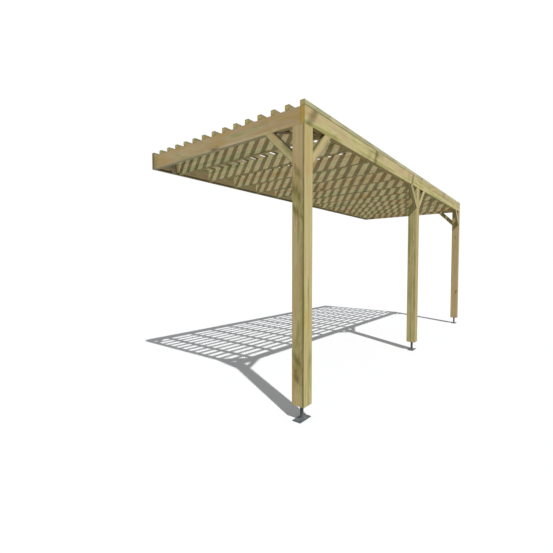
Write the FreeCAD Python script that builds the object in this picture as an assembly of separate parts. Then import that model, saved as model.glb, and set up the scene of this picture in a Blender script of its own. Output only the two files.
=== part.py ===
import FreeCAD, Part
import math
import os

from FreeCAD import Vector

# Lean-to pergola in softwood: three posts on steel feet, a front beam, a wall plate,
# rafters between them, slats across the top, knee braces at the posts and ties in the corners.
# Millimetres. +X runs along the front beam, +Y from the beam to the wall plate, +Z is up.
# The origin is on the ground, in the middle of the plan.

# Overall sizes
overall_length = 5976.0      # outer face to outer face of the end rafters
overall_depth = 2150.0       # front face of the beam to the back of the wall plate
headroom = 2400.0            # ground to the underside of beam and rafters

# Timber sections
post_size = 120.0            # square posts
stock_thickness = 44.0       # beam, wall plate, rafters and corner ties
stock_depth = 145.0
slat_width = 44.0
slat_height = 44.0
brace_thickness = 44.0
brace_width = 70.0
arris = 3.0                  # rounding of the long edges of every timber

# Layout
rafter_count = 14
end_bay = 337.0              # face of the end rafter to the same face of the next one
slat_count = 15
brace_leg = 295.0            # post face to the far corner of a knee brace
tie_leg = 265.0              # inner corner to the far corner of a corner tie

# Steel feet
foot_height = 125.0          # ground to the underside of the posts
base_length = 160.0          # base plate, along the beam
base_width = 80.0            # base plate, across the beam
base_thickness = 8.0
base_bevel = 1.0             # eased top edge of the base plate
base_hole_spacing_x = 120.0
base_hole_spacing_y = 48.0
base_hole_diameter = 11.0
stem_diameter = 30.0
weld_size = 5.0              # fillet weld round the foot of the stem
bearing_size = 80.0          # square plate under the post
bearing_thickness = 6.0
bearing_screw_spacing = 56.0
dowel_diameter = 16.0        # dowel on the stem that enters the post
dowel_length = 90.0          # above the bearing plate
dowel_clearance = 0.2        # radial play of the dowel

# Anchor holes through the wall plate
anchor_hole_diameter = 12.0
anchor_bay_step = 2          # an anchor in every second bay

# Screws: head diameter, shank diameter and the length that bites in the second timber
slat_screw_head = 10.0
slat_screw_shank = 5.0
slat_screw_bite = 36.0
frame_screw_head = 12.0      # toe screws of the rafters and screws of the corner ties
frame_screw_shank = 6.0
frame_screw_cover = 12.0     # timber left in front of a frame screw's point
brace_screw_head = 16.0
brace_screw_shank = 8.0
brace_screw_bite = 60.0
post_screw_bite = 75.0       # long screws from the beam and end rafters down into the posts
foot_screw_head = 12.0
foot_screw_shank = 6.0
foot_screw_bite = 50.0
toe_setback = 28.0           # end of the rafter to the toe screw, along the rafter
toe_drop_left = 30.0         # top of the rafter to the toe screw on its left side
toe_drop_right = 60.0
tie_screw_inset = 40.0       # top or underside of a tie to its screws
post_screw_offset = 30.0     # middle of the middle post to its two screws
socket_sides = 6             # drive socket in a screw's head
socket_share = 0.45          # drive socket across flats, share of the head diameter
socket_depth_share = 0.2
point_share = 1.2            # length of a screw's point, share of the shank diameter

tolerance = 1e-6             # for telling whether two lengths or directions agree

# Places worked out from the sizes above
left = -overall_length / 2
right = overall_length / 2
front = -overall_depth / 2
rear = overall_depth / 2
roof_base = headroom
slat_base = headroom + stock_depth
roof_top = slat_base + slat_height
middle_left = -post_size / 2
rafter_start = front + stock_thickness
rafter_end = rear - stock_thickness
rafter_spacing = (overall_length - stock_thickness - 2 * end_bay) / (rafter_count - 3)
slat_pitch = (overall_depth - slat_width) / (slat_count - 1)
up = Vector(0, 0, 1)
down = Vector(0, 0, -1)

posts = {"left": left, "middle": middle_left, "right": right - post_size}
inner_rafters = [left + end_bay + i * rafter_spacing for i in range(rafter_count - 2)]
rafters = [left] + inner_rafters + [right - stock_thickness]
slats = [front + i * slat_pitch for i in range(slat_count)]


def timber(corner, size):
    """Board with its four long edges rounded."""
    box = Part.makeBox(size.x, size.y, size.z, corner)
    longest = max(size)
    along = [edge for edge in box.Edges if abs(edge.Length - longest) < tolerance]
    return box.makeFillet(arris, along)


def diagonal(corner, leg_a, leg_b, leg, width, thickness):
    """Brace at 45 degrees across an inner corner, cut flush to both faces that it meets."""
    inner = leg - width * math.sqrt(2)
    through = leg_a.cross(leg_b)
    points = [corner + leg_a * inner, corner + leg_a * leg, corner + leg_b * leg, corner + leg_b * inner]
    outline = Part.Face(Part.makePolygon(points + points[:1]))
    solid = outline.extrude(through * thickness)
    slant = (leg_a - leg_b).normalize()
    edges = [edge for edge in solid.Edges
             if abs(abs(slant.dot(edge.tangentAt(edge.FirstParameter))) - 1) < tolerance]
    return solid.makeFillet(arris, edges)


def screw(point, direction, length, head, shank):
    """Countersunk screw and the hole that it fills; the point is the middle of its head."""
    countersink = (head - shank) / 2
    tip = shank * point_share
    profile = [Vector(0, 0, 0), Vector(head / 2, 0, 0), Vector(shank / 2, 0, countersink),
               Vector(shank / 2, 0, length - tip), Vector(0, 0, length)]
    body = Part.Face(Part.makePolygon(profile + profile[:1])).revolve(Vector(), up, 360)
    turn = 2 * math.pi / socket_sides
    reach = head * socket_share / 2 / math.cos(turn / 2)
    corners = [Vector(reach * math.cos(a * turn), reach * math.sin(a * turn), 0)
               for a in range(socket_sides)]
    socket = Part.Face(Part.makePolygon(corners + corners[:1])).extrude(up * head * socket_depth_share)
    return placed(body.cut(socket), point, direction), placed(body, point, direction)


def placed(shape, point, direction):
    """Shape drawn along +Z, moved to a point and turned to a direction."""
    turned = shape.copy()
    turned.Placement = FreeCAD.Placement(point, FreeCAD.Rotation(up, direction))
    return turned


def sunk_screw(face_point, direction, face_normal, length, head, shank):
    """Screw driven at a slant into a face, its head sunk clear of that face in a round pocket."""
    slope = math.acos(abs(direction.dot(face_normal)))
    sink = head / 2 * math.tan(slope)
    seat = face_point + direction * sink
    fastener, hole = screw(seat, direction, length - sink, head, shank)
    pocket = Part.makeCylinder(head / 2, 2 * sink, seat, direction * -1)
    return fastener, hole.fuse(pocket)


def drill(shape, holes):
    """Cut every hole that reaches into the shape."""
    near = [hole for hole in holes if hole.BoundBox.intersect(shape.BoundBox)]
    if near:
        return shape.cut(near)
    return shape


def save(name, shape):
    shape.exportStep("parts/" + name + ".step")


def slat_fasteners():
    """One screw at each crossing of a slat with a rafter, the beam or the wall plate."""
    pairs = []
    for y in slats:
        for x in rafters:
            head = Vector(x + stock_thickness / 2, y + slat_width / 2, roof_top)
            length = slat_height + slat_screw_bite
            pairs.append(screw(head, down, length, slat_screw_head, slat_screw_shank))
    return pairs


def rafter_fasteners():
    """Toe screws, one from each side of an inner rafter at each of its ends."""
    pairs = []
    into = stock_thickness - frame_screw_cover
    length = (toe_setback + into) * math.sqrt(2)
    ends = [(rafter_start + toe_setback, -1), (rafter_end - toe_setback, 1)]
    for x in inner_rafters:
        sides = [(x, 1, toe_drop_left), (x + stock_thickness, -1, toe_drop_right)]
        for y, outward in ends:
            for face, inward, drop in sides:
                spot = Vector(face, y, slat_base - drop)
                aim = Vector(inward, outward, 0).normalize()
                pairs.append(sunk_screw(spot, aim, Vector(inward, 0, 0), length,
                                        frame_screw_head, frame_screw_shank))
    return pairs


def diagonal_fasteners(corner, leg_a, leg_b, leg, width, bite, heights, head, shank):
    """Screws through both ends of a diagonal, square to the face that each end meets."""
    pairs = []
    through = leg_a.cross(leg_b)
    seat = leg - width * math.sqrt(2) / 2
    normal = (leg_a + leg_b).normalize()
    for along, into in ((leg_a, leg_b), (leg_b, leg_a)):
        for height in heights:
            spot = corner + along * seat + into * (leg - seat) + through * height
            pairs.append(sunk_screw(spot, into * -1, normal, leg - seat + bite, head, shank))
    return pairs


# Knee braces: corner at the top of the post, direction along the roof timber, direction down the post
def knee_corners():
    outer_left = Vector(left, front + post_size, roof_base)
    outer_right = Vector(right - brace_thickness, front + post_size, roof_base)
    back = Vector(0, 1, 0)
    toward_left = Vector(-1, 0, 0)
    toward_right = Vector(1, 0, 0)
    face = front + brace_thickness
    return {
        "brace_left_side": (outer_left + Vector(brace_thickness, 0, 0), back, down),
        "brace_left_front": (Vector(posts["left"] + post_size, front, roof_base), toward_right, down),
        "brace_middle_left": (Vector(posts["middle"], face, roof_base), toward_left, down),
        "brace_middle_right": (Vector(posts["middle"] + post_size, front, roof_base), toward_right, down),
        "brace_right_front": (Vector(posts["right"], face, roof_base), toward_left, down),
        "brace_right_side": (outer_right + Vector(brace_thickness, 0, 0), back, down),
    }


# Corner ties: inner corner of the frame and the two directions along its faces
def tie_corners():
    inner_left = left + stock_thickness
    inner_right = right - stock_thickness
    east = Vector(1, 0, 0)
    west = Vector(-1, 0, 0)
    north = Vector(0, 1, 0)
    south = Vector(0, -1, 0)
    return {
        "corner_tie_front_left": (Vector(inner_left, rafter_start, roof_base), east, north),
        "corner_tie_front_right": (Vector(inner_right, rafter_start, roof_base), north, west),
        "corner_tie_wall_left": (Vector(inner_left, rafter_end, roof_base), south, east),
        "corner_tie_wall_right": (Vector(inner_right, rafter_end, roof_base), west, south),
    }


def post_fasteners():
    """Long screws from the top of the beam and the end rafters down into the posts."""
    spots = []
    beam_y = front + stock_thickness / 2
    rest_y = (rafter_start + front + post_size) / 2
    for side, rafter in (("left", left), ("right", right - stock_thickness)):
        spots.append((posts[side] + post_size / 2, beam_y))
        spots.append((rafter + stock_thickness / 2, rest_y))
    for offset in (-post_screw_offset, post_screw_offset):
        spots.append((posts["middle"] + post_size / 2 + offset, beam_y))
    length = stock_depth + post_screw_bite
    return [screw(Vector(x, y, slat_base), down, length, brace_screw_head, brace_screw_shank)
            for x, y in spots]


def foot(x, y):
    """Base plate, stem and dowel, welded into one piece and centred on x, y."""
    corner = Vector(x - base_length / 2, y - base_width / 2, 0)
    plate = Part.makeBox(base_length, base_width, base_thickness, corner)
    rim = [edge for edge in plate.Edges
           if all(abs(vertex.Z - base_thickness) < tolerance for vertex in edge.Vertexes)]
    plate = plate.makeChamfer(base_bevel, rim)
    for dx in (-base_hole_spacing_x / 2, base_hole_spacing_x / 2):
        for dy in (-base_hole_spacing_y / 2, base_hole_spacing_y / 2):
            spot = Vector(x + dx, y + dy, 0)
            plate = plate.cut(Part.makeCylinder(base_hole_diameter / 2, base_thickness, spot))
    shoulder = foot_height - bearing_thickness
    radius = stem_diameter / 2
    dowel = dowel_diameter / 2
    top = foot_height + dowel_length
    profile = [Vector(0, 0, base_thickness), Vector(radius + weld_size, 0, base_thickness),
               Vector(radius, 0, base_thickness + weld_size), Vector(radius, 0, shoulder),
               Vector(dowel, 0, shoulder), Vector(dowel, 0, top - base_bevel),
               Vector(dowel - base_bevel, 0, top), Vector(0, 0, top)]
    stem = Part.Face(Part.makePolygon(profile + profile[:1])).revolve(Vector(), up, 360)
    stem.translate(Vector(x, y, 0))
    return plate.fuse(stem).removeSplitter()


def bearing_plate(x, y):
    """Square plate between the shoulder of the stem and the end of the post."""
    under = foot_height - bearing_thickness
    corner = Vector(x - bearing_size / 2, y - bearing_size / 2, under)
    plate = Part.makeBox(bearing_size, bearing_size, bearing_thickness, corner)
    return plate.cut(Part.makeCylinder(dowel_diameter / 2, bearing_thickness, Vector(x, y, under)))


def foot_fasteners(x, y):
    """Four screws up through the bearing plate into the end of the post."""
    pairs = []
    half = bearing_screw_spacing / 2
    for dx, dy in ((-half, -half), (half, -half), (half, half), (-half, half)):
        spot = Vector(x + dx, y + dy, foot_height - bearing_thickness)
        length = bearing_thickness + foot_screw_bite
        pairs.append(screw(spot, up, length, foot_screw_head, foot_screw_shank))
    return pairs


def build():
    os.makedirs("parts", exist_ok=True)
    slat_pairs = slat_fasteners()
    rafter_pairs = rafter_fasteners()
    post_pairs = post_fasteners()
    brace_pairs = []
    for corner, leg_a, leg_b in knee_corners().values():
        brace_pairs += diagonal_fasteners(corner, leg_a, leg_b, brace_leg, brace_width, brace_screw_bite,
                                          [brace_thickness / 2], brace_screw_head, brace_screw_shank)
    tie_pairs = []
    for corner, leg_a, leg_b in tie_corners().values():
        tie_pairs += diagonal_fasteners(corner, leg_a, leg_b, tie_leg, stock_thickness,
                                        stock_thickness - frame_screw_cover,
                                        [tie_screw_inset, stock_depth - tie_screw_inset],
                                        frame_screw_head, frame_screw_shank)
    foot_pairs = []
    post_y = front + post_size / 2
    for x in posts.values():
        foot_pairs += foot_fasteners(x + post_size / 2, post_y)

    groups = {"slat_screws": slat_pairs, "rafter_screws": rafter_pairs, "post_screws": post_pairs,
              "brace_screws": brace_pairs, "tie_screws": tie_pairs, "foot_screws": foot_pairs}
    holes = []
    for name, pairs in groups.items():
        save(name, Part.makeCompound([fastener for fastener, hole in pairs]))
        holes += [hole for fastener, hole in pairs]

    for name, x in posts.items():
        middle = Vector(x + post_size / 2, post_y, foot_height)
        post = timber(Vector(x, front, foot_height), Vector(post_size, post_size, headroom - foot_height))
        bore = Part.makeCylinder(dowel_diameter / 2 + dowel_clearance, dowel_length, middle)
        save("post_" + name, drill(post.cut(bore), holes))
        save("foot_" + name, foot(middle.x, middle.y))
        save("bearing_plate_" + name, drill(bearing_plate(middle.x, middle.y), holes))

    rail = Vector(overall_length, stock_thickness, stock_depth)
    save("front_beam", drill(timber(Vector(left, front, roof_base), rail), holes))
    wall_plate = timber(Vector(left, rafter_end, roof_base), rail)
    anchors = []
    for x in inner_rafters[:-1:anchor_bay_step]:
        bay_middle = x + (stock_thickness + rafter_spacing) / 2
        spot = Vector(bay_middle, rafter_end, roof_base + stock_depth / 2)
        anchors.append(Part.makeCylinder(anchor_hole_diameter / 2, stock_thickness, spot, Vector(0, 1, 0)))
    save("wall_plate", drill(wall_plate, holes + anchors))

    rafter_size = Vector(stock_thickness, rafter_end - rafter_start, stock_depth)
    for number, x in enumerate(rafters, 1):
        rafter = timber(Vector(x, rafter_start, roof_base), rafter_size)
        save("rafter_%02d" % number, drill(rafter, holes))
    for number, y in enumerate(slats, 1):
        slat = timber(Vector(left, y, slat_base), Vector(overall_length, slat_width, slat_height))
        save("slat_%02d" % number, drill(slat, holes))
    for name, (corner, leg_a, leg_b) in knee_corners().items():
        brace = diagonal(corner, leg_a, leg_b, brace_leg, brace_width, brace_thickness)
        save(name, drill(brace, holes))
    for name, (corner, leg_a, leg_b) in tie_corners().items():
        tie = diagonal(corner, leg_a, leg_b, tie_leg, stock_thickness, stock_depth)
        save(name, drill(tie, holes))


build()
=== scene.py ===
import math
import random

import bpy
from mathutils import Euler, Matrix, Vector

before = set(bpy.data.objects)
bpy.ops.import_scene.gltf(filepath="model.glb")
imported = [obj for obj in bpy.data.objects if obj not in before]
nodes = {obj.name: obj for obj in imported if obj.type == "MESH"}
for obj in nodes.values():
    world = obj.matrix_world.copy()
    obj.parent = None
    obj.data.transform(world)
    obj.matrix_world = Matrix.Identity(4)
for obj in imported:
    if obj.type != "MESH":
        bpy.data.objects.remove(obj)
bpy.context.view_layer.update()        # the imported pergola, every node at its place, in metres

print("frame loaded:", len(nodes), "nodes")


class Wire:                                    # one socket of a finish's node tree
    def __init__(self, tree, socket=None):
        self.tree = tree
        self.socket = socket

    def add(self, kind, settings=None, links=None, out=0):      # any node: settings first, then sockets
        node = self.tree.nodes.new(kind)
        for name, value in (settings or {}).items():
            if name == "stops":
                self.setStops(node.color_ramp.elements, value)
            else:
                setattr(node, name, value)
        for name, value in (links or {}).items():
            if isinstance(value, Wire):
                self.tree.links.new(value.socket, node.inputs[name])
            else:
                node.inputs[name].default_value = value
        return Wire(self.tree, node.outputs[out] if len(node.outputs) else None)

    def setStops(self, marks, stops):          # places and colours along a ramp
        for mark, (place, colour) in zip((marks[0], marks[-1]), (stops[0], stops[-1])):
            mark.position = place
            mark.color = colour
        for place, colour in stops[1:-1]:
            marks.new(place).color = colour

    def output(self, out):                     # another output of the same node
        return Wire(self.tree, self.socket.node.outputs[out])

    def math(self, operation, first, second=0.0):
        return self.add("ShaderNodeMath", {"operation": operation}, {0: first, 1: second})

    def __add__(self, other):
        return self.math("ADD", self, other)

    def __radd__(self, other):
        return self.math("ADD", other, self)

    def __sub__(self, other):
        return self.math("SUBTRACT", self, other)

    def __rsub__(self, other):
        return self.math("SUBTRACT", other, self)

    def __mul__(self, other):
        return self.math("MULTIPLY", self, other)

    def __rmul__(self, other):
        return self.math("MULTIPLY", other, self)

    def __truediv__(self, other):
        return self.math("DIVIDE", self, other)

    def __rtruediv__(self, other):
        return self.math("DIVIDE", other, self)

    def __pow__(self, other):
        return self.math("POWER", self, other)

    def __mod__(self, other):
        return self.math("FLOORED_MODULO", self, other)

    def __abs__(self):
        return self.math("ABSOLUTE", self)

    def larger(self, other):
        return self.math("MAXIMUM", self, other)

    def smaller(self, other):
        return self.math("MINIMUM", self, other)

    def reach(self, other):                    # length of two values at right angles
        return (self * self + other * other) ** 0.5

    def ramp(self, low, high):                 # 0 at low, 1 at high, eased between
        return self.add("ShaderNodeMapRange", {"interpolation_type": "SMOOTHSTEP"},
                        {"Value": self, "From Min": low, "From Max": high})

    def fade(self, low, high):                 # 1 at low, 0 at high
        return 1 - self.ramp(low, high)

    def parts(self):                           # the three numbers of a vector
        split = self.add("ShaderNodeSeparateXYZ", {}, {0: self})
        return [split.output(axis) for axis in range(3)]

    def towards(self, direction):              # how far a vector points in a direction
        return self.add("ShaderNodeVectorMath", {"operation": "DOT_PRODUCT"},
                        {0: self, 1: Vector(direction).normalized()}, "Value")

    def placed(self, scale, shift):            # a vector scaled, then moved
        return self.add("ShaderNodeMapping", {"vector_type": "POINT"},
                        {"Vector": self, "Location": shift, "Scale": scale})

    def noise(self, scale, shift, detail):     # cloudy value from 0 to 1
        return self.add("ShaderNodeTexNoise", {},
                        {"Vector": self.placed(scale, shift), "Scale": 1.0, "Detail": detail})

    def tint(self, under, over):               # colour under, covered by colour over where this is 1
        return self.add("ShaderNodeMix", {"data_type": "RGBA"}, {0: self, 6: under, 7: over}, 2)

    def dim(self, share):                      # a colour made darker or lighter
        return self.add("ShaderNodeVectorMath", {"operation": "SCALE"}, {0: self, "Scale": share})


def tone(red, green, blue):                    # screen values 0 to 255 as a linear colour
    return tuple(((v / 255 + 0.055) / 1.055) ** 2.4 for v in (red, green, blue)) + (1.0,)


def newFinish(name):                           # empty material and the start of its node tree
    finish = bpy.data.materials.new(name)
    finish.use_nodes = True
    finish.node_tree.nodes.clear()
    return finish, Wire(finish.node_tree)


def closeFinish(start, settings):              # the surface shader and the material's output
    surface = start.add("ShaderNodeBsdfPrincipled", {}, settings)
    start.add("ShaderNodeOutputMaterial", {}, {"Surface": surface})


def dress(node, finish):                       # finish on every slot of a CAD node
    mesh = nodes[node].data
    if not mesh.materials:
        mesh.materials.append(finish)
    for slot in nodes[node].material_slots:
        slot.material = finish


# How often a pattern of the wood repeats in a metre: along the grain, through the board and across it
patternSet = {
    "heartThick": (0.8, 1.5, 1.5),         # how the heart of the tree strays, two ways
    "heartWide": (0.8, 1.5, 1.5),
    "knot": (1 / 0.75, 1 / 1.5, 1.0),      # a place in 0.75 m, and in 1.5 radians round the heart
    "waver": (3.0, 30.0, 30.0),            # unevenness of the rings
    "streak": (0.5, 42.0, 42.0),
    "patch": (2.4, 13.0, 13.0),
    "cloud": (4.0, 7.0, 7.0),
    "bend": (5.0, 16.0, 16.0),             # unevenness of whorls and stains
    "fibre": (9.0, 520.0, 520.0),
    "vein": (2.4, 110.0, 110.0),           # coarser than the fibre
    "ragged": (13.0, 48.0, 48.0),          # broken edges of stains
    "check": (0.35, 26.0, 26.0),           # drying checks
}

# Where a mask of the wood begins and ends
limitSet = {
    "ringRise": (0.35, 0.9),       # dark line of a ring, in shares of the ring
    "ringFall": (0.92, 1.0),
    "knotCore": (0.75, 1.0),       # from a knot's middle, in knot sizes
    "knotRim": (0.05, 0.22),       # from a knot's outline
    "knotSwell": (0.2, 3.2),       # from a knot's middle, in knot sizes
    "moss": (0.54, 0.74),          # depth of the clouds
    "dried": (0.5, 0.6),           # depth of the clouds that hold drying checks
    "check": (0.0018, 0.006),      # from a check's middle, in the swing of its pattern
    "whorl": (0.1, 1.3),           # from a whorl's or a stain's middle, in its half sizes
    "stainAndShade": (0.1, 1.2),
    "arris": (0.3, 1.3),           # in from the edge, in arris widths
    "edgeLine": (0.003, 0.028),    # in from the edge
    "endRim": (0.001, 0.016),
    "face": (0.5, 0.7),            # how squarely a face looks the given way
    "lineFace": (0.9, 0.99),
    "tintFace": (0.75, 0.95),
    "endFace": (0.5, 0.65),
}

# Treated softwood: sizes in metres, tones as screen values
timberSet = {
    "patterns": patternSet,
    "shiftReach": 50.0,            # how far a board's patterns are moved by lot
    "green": (168, 166, 112),      # streaks that took most of the treatment
    "sap": (210, 200, 150),        # pale outer wood
    "heart": (208, 182, 144),      # pinkish inner wood
    "honey": (200, 172, 106),      # resin
    "moss": (126, 120, 68),        # olive clouds
    "late": (158, 132, 84),        # dark line of each ring
    "knot": (132, 98, 60),
    "knotRim": (92, 70, 44),
    "end": (212, 190, 108),        # end grain
    "arris": (142, 134, 84),       # long edges
    "grime": (72, 62, 38),         # painted shade on sheltered faces, corners and undersides
    "worn": (234, 226, 184),       # painted light: faces and edges made paler, as if more brightly lit
    "whorl": (112, 98, 58),        # dark bands across the board
    "toneRun": ((0.05, "green"), (0.36, "sap"), (0.62, "heart"), (0.95, "honey")),
    "hue": 0.42,                   # middle of the run of tones
    "streakShare": 1.3,
    "patchShare": 1.5,
    "heartShare": 0.3,
    "heartPlace": None,            # heart's place through and across the board, by lot where none is given
    "wander": 0.045,               # how far the heart strays from the board's line
    "sapDepth": 0.5,               # share of the board's reach from the heart that is inner wood
    "sapEdge": 0.02,               # half width of the border between the two
    "ringWidth": 0.0045,
    "ringWaver": 0.9,
    "lateShare": 0.25,
    "knotSize": (0.0045, 0.0117),  # smallest and largest
    "knotNone": 0.7,               # share of places with no knot
    "knotSoft": 0.02,              # step between places with and without one
    "knotOutline": 0.98,           # in knot sizes
    "knotAlong": 0.8,              # how much a length along the grain counts in a knot
    "swellAlong": 0.3,             # and in the grain round it
    "swellBend": 0.014,            # how far the rings bend round a knot
    "swellShare": 0.3,
    "coreShare": 0.75,
    "rimShare": 0.6,
    "mossShare": 0.5,
    "lean": 0.8,                   # slant of the clouds across the board
    "bendReach": 0.07,             # how far whorls and stains waver along the board
    "whorls": (),                  # place along, slant, half width, share
    "whorlLeast": 0.2,             # strength outside the clouds, and what the clouds add
    "whorlCloud": 1.6,
    "stainsAndShade": (),                  # face, tone, place along and across, half length and width, share: stains, and dark marks that are painted shade
    "stainSlant": 0.0,             # lean across the face
    "stainBreak": 2.2,             # how much the edges break up
    "checkShare": 0.35,
    "arrisShare": 0.35,
    "arrisWide": 0.006,
    "arrisLeast": 0.6,             # strength outside the clouds, and what the clouds add
    "arrisCloud": 0.8,
    "edgeLine": None,              # a face with a soft line along one edge, and the face beyond that edge
    "lineShare": 0.75,
    "faceTints": (),               # direction of a face, its tone, share: tones, and also painted shade darkening a face and painted light lightening one
    "endLate": 0.5,                # share of the rings on the end grain
    "endRimShare": 0.45,
    "roughLow": 0.58,
    "roughHigh": 0.82,
    "specular": 0.25,
}

# What lightens the wood, what raises its surface, and where the heart of the tree lies
shadeSet = {"least": 0.76, "fibre": 0.16, "vein": 0.2, "cloud": 0.12, "streak": 0.35}
reliefSet = {"late": 0.35, "fibre": 0.4, "knotRim": 0.5, "strength": 0.6, "depth": 0.0006}
heartSet = {
    "postHalf": 0.04,              # a board that is thicker than twice this is a post
    "inPost": 0.03,                # how far at most the heart lies from a post's middle
    "beyondBoard": (0.01, 0.05),   # how far at least and at most it lies outside a board's face
    "acrossBoard": 0.7,            # how far at most from a board's middle, in half widths
}


def boardFrame(node, grain):                   # centre, turn and half sizes of a board, X along its grain
    grain = Vector(grain).normalized()
    turn = Euler((0.0, -math.asin(grain.z), math.atan2(grain.y, grain.x)))
    square = turn.to_matrix()
    spots = [square.transposed() @ vertex.co for vertex in nodes[node].data.vertices]
    low = Vector([min(spot[axis] for spot in spots) for axis in range(3)])
    high = Vector([max(spot[axis] for spot in spots) for axis in range(3)])
    return square @ ((low + high) / 2), turn, (high - low) / 2


def heartPlace(look, half, draw):              # inside a square post, beyond one face of a board
    if look["heartPlace"]:
        return look["heartPlace"]
    if half.y > heartSet["postHalf"]:
        stray = heartSet["inPost"]
        return draw.uniform(-stray, stray), draw.uniform(-stray, stray)
    side = draw.choice((-1, 1))
    beyond = draw.uniform(*heartSet["beyondBoard"])
    across = draw.uniform(-heartSet["acrossBoard"], heartSet["acrossBoard"])
    return side * (half.y + beyond), across * half.z


class Board:                                   # one timber: its directions, patterns and colour so far
    def __init__(self, node, grain, change):
        self.look = {**timberSet, **change}
        self.grain = grain
        self.finish, self.start = newFinish(node + "_timber")
        centre, turn, self.half = boardFrame(node, grain)
        self.inward = turn.to_matrix().transposed()        # from the part's directions to the board's
        draw = random.Random(node)
        reach = self.look["shiftReach"]
        self.shift = {name: [draw.uniform(-reach, reach) for axis in range(3)] for name in patternSet}
        self.heart = heartPlace(self.look, self.half, draw)
        spot = self.start.add("ShaderNodeTexCoord", {}, {}, "Object")
        self.facing = spot.output("Normal")
        self.spot = self.start.add("ShaderNodeMapping", {"vector_type": "TEXTURE"},
                                   {"Vector": spot, "Location": centre, "Rotation": turn})
        self.along, self.thick, self.wide = self.spot.parts()
        self.inThick = self.half.y - abs(self.thick)       # distance in from the board's faces
        self.inWide = self.half.z - abs(self.wide)

    def pattern(self, name, detail=2.0, spot=None):        # cloudy value from 0 to 1, shifted by lot
        return (spot or self.spot).noise(self.look["patterns"][name], self.shift[name], detail)

    def swing(self, name, detail=2.0):         # the same from -0.5 to 0.5
        return self.pattern(name, detail) - 0.5

    def turnedTo(self, direction, limits):     # 1 on the faces that look that way
        return self.facing.towards(direction).ramp(*limitSet[limits])

    def cover(self, share, name):              # a tone over the colour so far
        self.colour = share.tint(self.colour, tone(*self.look[name]))

    def findHeart(self):                       # distance and angle from the wandering heart of the tree
        heartThick, heartWide = self.heart
        y = self.thick - heartThick + self.swing("heartThick") * self.look["wander"]
        z = self.wide - heartWide + self.swing("heartWide") * self.look["wander"]
        self.radius = y.reach(z)
        self.angle = self.start.math("ARCTAN2", z, y)

    def growKnots(self):                       # core, rim and the swell of the grain round them
        look = self.look
        often = look["patterns"]["knot"]
        unrolled = self.start.add("ShaderNodeCombineXYZ", {}, {0: self.along, 1: self.angle})
        place = unrolled.placed(often, self.shift["knot"])
        cell = self.start.add("ShaderNodeTexVoronoi", {"voronoi_dimensions": "2D"},
                              {"Vector": place, "Scale": 1.0}, "Position")
        chance = cell.output("Color").parts()
        offset = self.start.add("ShaderNodeVectorMath", {"operation": "SUBTRACT"}, {0: place, 1: cell})
        apart = offset.parts()
        aside = apart[0] / often[0]
        across = apart[1] / often[1] * self.radius
        smallest, largest = look["knotSize"]
        size = smallest + chance[1] * (largest - smallest)
        near = (aside * look["knotAlong"]).reach(across) / size
        flow = (aside * look["swellAlong"]).reach(across) / size
        kept = chance[0].ramp(look["knotNone"], look["knotNone"] + look["knotSoft"])
        self.knotCore = near.fade(*limitSet["knotCore"]) * kept
        self.knotRim = abs(near - look["knotOutline"]).fade(*limitSet["knotRim"]) * kept
        self.swell = flow.fade(*limitSet["knotSwell"]) * kept

    def growRings(self):                       # dark lines round the heart, bent round the knots
        look = self.look
        count = (self.radius + self.swell * look["swellBend"]) / look["ringWidth"]
        ring = (count + self.swing("waver") * look["ringWaver"]) % 1.0
        self.late = ring.ramp(*limitSet["ringRise"]) * ring.fade(*limitSet["ringFall"])

    def mixTones(self):                        # streaks and patches run from green to honey
        look = self.look
        heartThick, heartWide = [abs(place) for place in self.heart]
        far = math.hypot(self.half.y + heartThick, self.half.z + heartWide)
        close = math.hypot(max(heartThick - self.half.y, 0.0), max(heartWide - self.half.z, 0.0))
        border = close + (far - close) * look["sapDepth"]
        self.streak = self.swing("streak")
        patch = self.swing("patch")
        depth = self.radius + patch * (far - close)
        inner = 0.5 - depth.ramp(border - look["sapEdge"], border + look["sapEdge"])
        hue = (look["hue"] + self.streak * look["streakShare"] + patch * look["patchShare"]
               + inner * look["heartShare"])
        stops = [(place, tone(*look[name])) for place, name in look["toneRun"]]
        self.colour = self.start.add("ShaderNodeValToRGB", {"stops": stops}, {0: hue})

    def addClouds(self):                       # olive clouds that lean across the board, rings and knots
        look = self.look
        aslant = self.along - (self.wide + self.thick) * look["lean"]
        leaning = self.start.add("ShaderNodeCombineXYZ", {}, {0: aslant, 1: self.thick, 2: self.wide})
        self.cloud = self.pattern("cloud", detail=3.0, spot=leaning)
        self.cover(self.cloud.ramp(*limitSet["moss"]) * look["mossShare"], "moss")
        self.cover(self.late * look["lateShare"], "late")
        self.cover(self.swell * look["swellShare"], "late")
        self.cover(self.knotCore * look["coreShare"], "knot")
        self.cover(self.knotRim * look["rimShare"], "knotRim")

    def addStainsAndShade(self):                       # whorls across the board, then stains and painted shade on single faces
        look = self.look
        uneven = self.along + self.swing("bend") * look["bendReach"]
        strength = self.cloud * look["whorlCloud"] + look["whorlLeast"]
        for place, slant, halfWidth, share in look["whorls"]:
            aside = abs(uneven - (self.wide + self.thick) * slant - place) / halfWidth
            self.cover(aside.fade(*limitSet["whorl"]) * share * strength, "whorl")
        ragged = self.swing("ragged", detail=3.0) * look["stainBreak"]
        for face, name, place, across, halfLength, halfWidth, share in look["stainsAndShade"]:
            turned = self.inward @ Vector(face)
            sideways = (self.wide if abs(turned.y) > abs(turned.z) else self.thick) - across
            lengthways = uneven - sideways * look["stainSlant"] - place
            apart = (lengthways / halfLength).reach(sideways / halfWidth)
            stainAndShade = (apart + ragged).fade(*limitSet["stainAndShade"]) * share
            self.cover(stainAndShade * self.turnedTo(face, "face"), name)

    def addChecks(self):                       # fine dark lines along the grain
        split = abs(self.swing("check", detail=1.0))
        dried = self.cloud.ramp(*limitSet["dried"])
        self.check = split.fade(*limitSet["check"]) * dried * self.look["checkShare"]
        self.cover(self.check, "knotRim")

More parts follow.
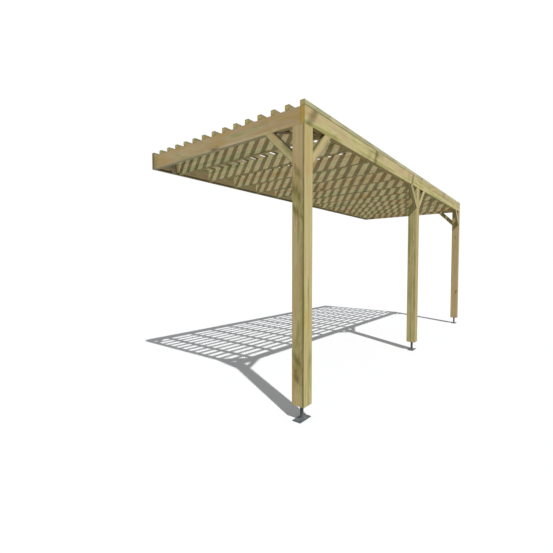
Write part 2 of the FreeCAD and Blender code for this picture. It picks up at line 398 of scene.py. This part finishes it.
    def addEdges(self):                        # long edges, and tints on single faces, some of them painted shade and painted light
        look = self.look
        rim = self.inThick.larger(self.inWide)
        arris = (rim / look["arrisWide"]).fade(*limitSet["arris"]) * look["arrisShare"]
        if look["edgeLine"]:
            face, beyond = look["edgeLine"]
            away = self.inward @ Vector(beyond)
            edge = self.half.y * abs(away.y) + self.half.z * abs(away.z)
            inset = edge - (self.thick * away.y + self.wide * away.z)
            line = inset.fade(*limitSet["edgeLine"]) * self.turnedTo(face, "lineFace")
            arris = arris.larger(line * look["lineShare"])
        self.cover(arris * (self.cloud * look["arrisCloud"] + look["arrisLeast"]), "arris")
        for direction, name, share in look["faceTints"]:
            self.cover(self.turnedTo(direction, "tintFace") * share, name)

    def addEnds(self):                         # end grain with its rings and a darker rim
        look = self.look
        cut = abs(self.facing.towards(self.grain)).ramp(*limitSet["endFace"])
        rim = self.inThick.smaller(self.inWide).fade(*limitSet["endRim"])
        ends = (self.late * look["endLate"]).tint(tone(*look["end"]), tone(*look["late"]))
        ends = (rim * look["endRimShare"]).tint(ends, tone(*look["arris"]))
        self.colour = cut.tint(self.colour, ends)

    def close(self):                           # brightness, roughness and relief
        look = self.look
        fibre = self.pattern("fibre", detail=3.0)
        vein = self.pattern("vein")
        shade = (shadeSet["least"] + fibre * shadeSet["fibre"] + vein * shadeSet["vein"]
                 + self.cloud * shadeSet["cloud"] + self.streak * shadeSet["streak"])
        rough = look["roughLow"] + fibre * (look["roughHigh"] - look["roughLow"])
        height = (self.late * reliefSet["late"] + fibre * reliefSet["fibre"]
                  - self.knotRim * reliefSet["knotRim"] - self.check)
        bump = self.start.add("ShaderNodeBump", {}, {"Height": height, "Strength": reliefSet["strength"],
                                                     "Distance": reliefSet["depth"]})
        closeFinish(self.start, {"Base Color": self.colour.dim(shade), "Roughness": rough, "Normal": bump,
                                 "Specular IOR Level": look["specular"]})


def timberFinish(node, grain, change):
    board = Board(node, grain, change)
    board.findHeart()
    board.growKnots()
    board.growRings()
    board.mixTones()
    board.addClouds()
    board.addStainsAndShade()
    board.addChecks()
    board.addEdges()
    board.addEnds()
    board.close()
    dress(node, board.finish)


# Directions of grain and faces
lengthwise = (1, 0, 0)
crosswise = (0, 1, 0)
upright = (0, 0, 1)
outward = (-1, 0, 0)
forward = (0, -1, 0)
downward = (0, 0, -1)

# Posts
postSet = {
    "green": (170, 164, 100),
    "sap": (212, 200, 142),
    "heart": (212, 184, 136),
    "honey": (206, 176, 104),
    "arris": (112, 106, 58),
    "arrisShare": 0.15,
    "arrisWide": 0.008,
    "sapDepth": 0.55,
    "hue": 0.44,
    "streakShare": 1.1,
    "patchShare": 1.7,
    "mossShare": 0.25,
    "knotNone": 0.9,
}
nearPostSet = {
    **postSet,
    "moss": (152, 142, 70),
    "whorl": (106, 98, 48),
    "heartPlace": (0.03, 0.03),
    "edgeLine": (outward, forward),
    "mossShare": 0.1,
    "checkShare": 0.25,
    "stainSlant": 1.1,
    "stainsAndShade": ((outward, "sap", -0.22, 0.0, 0.32, 0.08, 0.4),
               (outward, "heart", 1.05, 0.0, 0.45, 0.2, 0.6),
               (outward, "moss", -0.1, -0.04, 0.95, 0.035, 0.5),
               (outward, "moss", -0.79, 0.01, 0.24, 0.08, 0.6),
               (outward, "whorl", -0.903, 0.01, 0.055, 0.06, 0.6),
               (outward, "whorl", -0.752, 0.01, 0.05, 0.055, 0.6),
               (outward, "moss", 0.6, 0.015, 0.25, 0.08, 0.55),
               (outward, "whorl", 0.462, 0.02, 0.05, 0.06, 0.6),
               (outward, "whorl", 0.621, 0.015, 0.055, 0.06, 0.6),
               (outward, "whorl", 0.774, 0.01, 0.045, 0.06, 0.4),
               (forward, "sap", 0.2, 0.0, 0.5, 0.1, 0.5),
               (forward, "honey", -0.44, 0.0, 0.17, 0.06, 0.6),
               (forward, "honey", 0.98, 0.0, 0.22, 0.06, 0.5)),
    "faceTints": ((forward, "green", 0.14),),
}
middlePostSet = {
    **postSet,
    "hue": 0.45,
    "streakShare": 1.3,
    "patchShare": 0.9,
    "faceTints": ((forward, "moss", 0.22),),
}
farPostSet = {
    **postSet,
    "heart": (214, 184, 142),
    "whorl": (112, 90, 56),
    "hue": 0.54,
    "mossShare": 0.15,
    "stainsAndShade": ((outward, "whorl", -0.575, -0.04, 0.06, 0.022, 0.8),),
    "faceTints": ((forward, "moss", 0.55),),
}
timberFinish("post_left", upright, nearPostSet)
timberFinish("post_middle", upright, middlePostSet)
timberFinish("post_right", upright, farPostSet)

# Beam and wall plate
beamSet = {
    "patterns": {**patternSet, "ragged": (4.0, 48.0, 48.0)},       # stains break up less often
    "green": (176, 172, 106),
    "sap": (212, 202, 142),
    "heart": (208, 188, 142),
    "end": (214, 178, 90),
    # a darker tone for the painted shade on the underside below
    "grime": (50, 44, 22),
    "heartPlace": (-0.045, 0.045),
    "heartShare": 0.24,
    "hue": 0.34,
    "streakShare": 0.8,
    "patchShare": 1.9,
    "knotNone": 0.85,
    "whorls": ((-2.862, 0.74, 0.06, 0.75),
               (-1.564, 0.4, 0.05, 0.7),
               (-0.257, 0.5, 0.045, 0.7)),
    "stainsAndShade": ((forward, "moss", 1.6, 0.026, 1.6, 0.034, 0.6),
               (forward, "moss", 0.16, 0.036, 0.25, 0.026, 0.55),
               # painted shade on the beam's underside beside the near post
               (downward, "grime", -2.75, 0.0, 0.16, 0.08, 0.8)),
    "faceTints": ((downward, "honey", 0.7),),
}
plateSet = {
    "green": (160, 156, 104),
    "sap": (200, 188, 138),
    "heart": (198, 170, 130),
    # painted shade: dark end grain, as if shaded by the wall behind
    "end": (126, 118, 74),
    # painted shade on the inner and lower faces of the wall plate
    "faceTints": ((forward, "grime", 0.62), (downward, "grime", 0.4)),
}
timberFinish("front_beam", lengthwise, beamSet)
timberFinish("wall_plate", lengthwise, plateSet)

# Rafters: the outer ones are warmer, the inner ones paler
endRafterSet = {
    "sap": (208, 194, 142),
    "heart": (208, 180, 138),
    "whorl": (104, 82, 50),
    "heartPlace": (0.03, 0.03),
    "sapDepth": 0.75,
    "hue": 0.52,
    "streakShare": 1.7,
    "patchShare": 2.0,
    "mossShare": 0.25,
    "arrisShare": 0.15,
    "knotNone": 0.9,
    # painted light: a pale line low on the outer face; painted shade: darker at the wall end of the outer
    # face
    "stainsAndShade": ((outward, "worn", -0.4, -0.06, 0.55, 0.022, 0.4),
               (outward, "whorl", -0.02, -0.066, 0.09, 0.03, 0.8),
               (outward, "grime", 1.06, 0.0, 0.11, 0.4, 0.4)),
    # painted light: the lower rounding and underside made paler, as if lit from below
    "faceTints": (((-1, 0, -1), "worn", 0.9), (downward, "worn", 0.5)),
}
innerRafterSet = {
    "green": (186, 188, 136),
    "sap": (226, 218, 168),
    "heart": (222, 200, 154),
    "honey": (206, 176, 108),
    "arris": (150, 126, 70),
    "mossShare": 0.35,
    "knotNone": 0.8,
    "faceTints": ((downward, "honey", 0.6),),
}
rafters = sorted(node for node in nodes if node.startswith("rafter_") and node != "rafter_screws")
for node in rafters:
    outer = node in (rafters[0], rafters[-1])
    timberFinish(node, crosswise, endRafterSet if outer else innerRafterSet)

# Slats: the front one is in the sun; the others have painted shade on their front and lower faces, and the
# last one, which lies over the wall plate, has ends painted in shade
slatSet = {
    "green": (178, 176, 132),
    "sap": (208, 202, 158),
    "heart": (206, 186, 148),
    "arris": (122, 114, 66),
    "end": (216, 200, 122),
    "arrisShare": 0.6,
    "knotNone": 0.85,
}
frontSlatSet = {
    **slatSet,
    "whorls": ((0.17, 0.3, 0.06, 0.6), (1.56, 0.3, 0.07, 0.5)),
}
shadedSlatSet = {
    **slatSet,
    # painted shade on the front and lower faces of the slats behind the front one
    "faceTints": ((forward, "grime", 0.5), (downward, "grime", 0.25)),
}
lastSlatSet = {
    **shadedSlatSet,
    # painted shade: dark end grain next to the wall
    "end": (150, 140, 92),
}
slats = sorted(node for node in nodes if node.startswith("slat_") and node != "slat_screws")
slatSets = {slats[0]: frontSlatSet, slats[-1]: lastSlatSet}
for node in slats:
    timberFinish(node, lengthwise, slatSets.get(node, shadedSlatSet))

# Braces and ties: grain from the lower or left end, then a face with its tone and share; the dark tones
# are painted shade in the corners, the pale one painted light
diagonals = {
    "brace_left_side": ((0, 1, 1), ((0, -1, 1), "grime", 1.0)),
    "brace_left_front": ((1, 0, 1), ((-1, 0, 1), "grime", 0.75)),
    "brace_middle_left": ((-1, 0, 1), ((1, 0, 1), "grime", 0.75)),
    "brace_middle_right": ((1, 0, 1), ((-1, 0, 1), "grime", 0.75)),
    "brace_right_front": ((-1, 0, 1), ((1, 0, 1), "grime", 0.75)),
    "brace_right_side": ((0, 1, 1), ((0, -1, 1), "grime", 0.75)),
    "corner_tie_front_left": ((1, -1, 0), ((-1, -1, 0), "grime", 0.1)),
    "corner_tie_front_right": ((1, 1, 0), ((-1, 1, 0), "worn", 0.5)),
    "corner_tie_wall_left": ((1, 1, 0), ((1, -1, 0), "grime", 0.3)),
    "corner_tie_wall_right": ((1, -1, 0), ((1, 1, 0), "grime", 0.1)),
}
braceSet = {
    "green": (170, 166, 108),
    "sap": (212, 202, 146),
    "heart": (212, 186, 136),
    "honey": (208, 182, 110),
    "hue": 0.36,
    "streakShare": 1.8,
    "patchShare": 2.0,
    "knotNone": 0.95,
}
nearBraceSet = {
    **braceSet,
    # painted shade: a darker tone for the inner face and for a dark line on the outer face
    "grime": (44, 36, 20),
    "hue": 0.28,
    "streakShare": 1.2,
    # painted shade along the upper edge of the outer face
    "stainsAndShade": ((outward, "grime", 0.0, 0.037, 1.0, 0.012, 0.9),
               (outward, "moss", -0.08, 0.02, 0.14, 0.03, 0.4)),
}
# darker tones: painted shade for the ties in the roof corners
shadedTieSet = {
    "green": (138, 134, 92),
    "sap": (172, 160, 118),
    "heart": (168, 144, 110),
    "honey": (160, 136, 88),
    "knotNone": 0.9,
}
for node, (grain, faceTint) in diagonals.items():
    look = shadedTieSet if node.startswith("corner_tie") else braceSet
    if node == "brace_left_side":
        look = nearBraceSet
    timberFinish(node, grain, {**look, "faceTints": (faceTint,)})
print("timber finished")


# Steel: a mottled coat with grit, on the feet and, as bare zinc, on the screws
steelSet = {
    "mottle": (24.0, 24.0, 24.0),          # repeats in a metre
    "mottleShift": (3.0, 5.0, 1.0),
    "mottleDetail": 4.0,
    "grit": (900.0, 900.0, 900.0),
    "gritShift": (1.0, 2.0, 3.0),
    "gritDetail": 2.0,
    "dullLimits": (0.35, 0.65),
    "scuffLimits": (0.62, 0.75),
    "scuffShare": 0.4,
    "roughLow": 0.42,
    "roughHigh": 0.67,
    "reliefStrength": 0.25,
    "reliefDepth": 0.0003,
}
footSet = {
    **steelSet,
    "coat": (92, 98, 98),
    "dull": (74, 80, 82),
    "scuff": (130, 134, 132),
    "metallic": 0.0,
}
screwSet = {
    **steelSet,
    "coat": (186, 182, 168),
    "dull": (150, 146, 134),
    "scuff": (214, 210, 200),
    "metallic": 1.0,
}


def steelFinish(name, look):
    finish, start = newFinish(name)
    spot = start.add("ShaderNodeTexCoord", {}, {}, "Object")
    mottle = spot.noise(look["mottle"], look["mottleShift"], look["mottleDetail"])
    grit = spot.noise(look["grit"], look["gritShift"], look["gritDetail"])
    colour = mottle.ramp(*look["dullLimits"]).tint(tone(*look["coat"]), tone(*look["dull"]))
    scuffed = grit.ramp(*look["scuffLimits"]) * look["scuffShare"]
    colour = scuffed.tint(colour, tone(*look["scuff"]))
    rough = look["roughLow"] + mottle * (look["roughHigh"] - look["roughLow"])
    bump = start.add("ShaderNodeBump", {}, {"Height": grit, "Strength": look["reliefStrength"],
                                            "Distance": look["reliefDepth"]})
    closeFinish(start, {"Base Color": colour, "Roughness": rough, "Normal": bump,
                        "Metallic": look["metallic"]})
    return finish


footFinish = steelFinish("foot_coat", footSet)
for side in ("left", "middle", "right"):
    dress("foot_" + side, footFinish)
    dress("bearing_plate_" + side, footFinish)

screwFinish = steelFinish("screw_zinc", screwSet)
for held in ("slat", "rafter", "post", "brace", "tie", "foot"):
    dress(held + "_screws", screwFinish)
print("steel finished")


# Floor, sky and sun
stageSet = {
    "floorSize": 400.0,
    "floorShown": (0.86, 0.86, 0.86, 1.0),     # as the camera sees it
    "floorBounce": (0.20, 0.20, 0.19, 1.0),    # as it lights the object
    "skyShown": (1.0, 1.0, 1.0, 1.0),
    "skyLight": (0.33, 0.34, 0.355, 1.0),
    "sunTravel": (0.5125, 1.0, -1.5769),       # the way the light goes
    "sunStrength": 3.3,
    "sunAngle": 0.9,                           # degrees
}


def seenDirectly(start):                       # 1 for the camera, mirrors and glass
    camera = start.add("ShaderNodeLightPath", {}, {}, "Is Camera Ray")
    return camera.larger(camera.output("Is Glossy Ray").larger(camera.output("Is Transmission Ray")))


bpy.ops.object.select_all(action="DESELECT")
bpy.ops.mesh.primitive_plane_add(size=stageSet["floorSize"])
floor = bpy.context.object
floor.name = "floor"
floorFinish, start = newFinish("floor_pale")
shown = start.add("ShaderNodeBsdfDiffuse", {}, {"Color": stageSet["floorShown"]})
bounce = start.add("ShaderNodeBsdfDiffuse", {}, {"Color": stageSet["floorBounce"]})
mixed = start.add("ShaderNodeMixShader", {}, {0: seenDirectly(start), 1: bounce, 2: shown})
start.add("ShaderNodeOutputMaterial", {}, {"Surface": mixed})
floor.data.materials.append(floorFinish)

world = bpy.data.worlds.new("studio")
world.use_nodes = True
world.node_tree.nodes.clear()
start = Wire(world.node_tree)
skyColour = seenDirectly(start).tint(stageSet["skyLight"], stageSet["skyShown"])
sky = start.add("ShaderNodeBackground", {}, {"Color": skyColour, "Strength": 1.0})
start.add("ShaderNodeOutputWorld", {}, {"Surface": sky})
bpy.context.scene.world = world

sun = bpy.data.lights.new("sun", "SUN")
sun.energy = stageSet["sunStrength"]
sun.angle = math.radians(stageSet["sunAngle"])
sunObject = bpy.data.objects.new("sun", sun)
sunObject.rotation_euler = Vector(stageSet["sunTravel"]).to_track_quat("-Z", "Y").to_euler()
bpy.context.collection.objects.link(sunObject)
print("floor, sky and sun set")

# Camera
cameraSet = {
    "place": (-5.2532, -2.5983, 1.3024),
    "heading": 51.444,                         # degrees from +Y towards +X
    "pitch": 2.268,                            # degrees below level
    "lens": 22.209,                            # mm
    "sensor": 36.0,                            # mm
}
lens = bpy.data.cameras.new("camera")
lens.lens = cameraSet["lens"]
lens.sensor_width = cameraSet["sensor"]
camera = bpy.data.objects.new("camera", lens)
camera.location = cameraSet["place"]
camera.rotation_euler = (math.radians(90 - cameraSet["pitch"]), 0.0, -math.radians(cameraSet["heading"]))
bpy.context.collection.objects.link(camera)
bpy.context.scene.camera = camera
bpy.context.scene.view_settings.view_transform = "Standard"
print("camera set")
